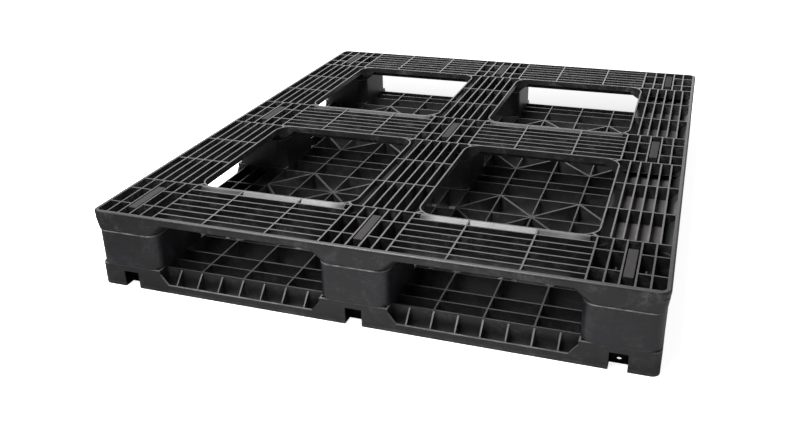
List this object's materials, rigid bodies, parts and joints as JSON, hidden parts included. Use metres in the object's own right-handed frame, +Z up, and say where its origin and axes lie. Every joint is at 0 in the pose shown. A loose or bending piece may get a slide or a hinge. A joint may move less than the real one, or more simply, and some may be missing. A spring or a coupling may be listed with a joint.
{
  "type": "plastic pallet",
  "caption": "Two-deck ribbed plastic pallet on hollow columns, with four-way fork entry, rounded deck windows, a braced perimeter base and rubber grip strips in the load face.",
  "frame": {"origin": "on the floor under the centre of the pallet", "axes": "+Z up, +Y along the 1219 mm side, +X along the 1016 mm side; the front is at -Y"},
  "size_m": [1.016, 1.219, 0.15],
  "materials": {
    "deck_plastic": "moulded black polyolefin, satin with handling scuffs",
    "column_plastic": "moulded black polyolefin, satin with handling scuffs",
    "grip_rubber": "matt brown-grey rubber"
  },
  "bodies": {
    "root": {"top_deck": "deck_plastic", "bottom_deck": "deck_plastic", "column_front_left": "column_plastic", "column_front_middle": "column_plastic", "column_front_right": "column_plastic", "column_middle_left": "column_plastic", "column_middle_middle": "column_plastic", "column_middle_right": "column_plastic", "column_back_left": "column_plastic", "column_back_middle": "column_plastic", "column_back_right": "column_plastic", "grip_insert_front_left": "grip_rubber", "grip_insert_front_middle": "grip_rubber", "grip_insert_front_right": "grip_rubber", "grip_insert_middle_left": "grip_rubber", "grip_insert_middle_middle": "grip_rubber", "grip_insert_middle_right": "grip_rubber", "grip_insert_back_left": "grip_rubber", "grip_insert_back_middle": "grip_rubber", "grip_insert_back_right": "grip_rubber"}
  },
  "joints": []
}
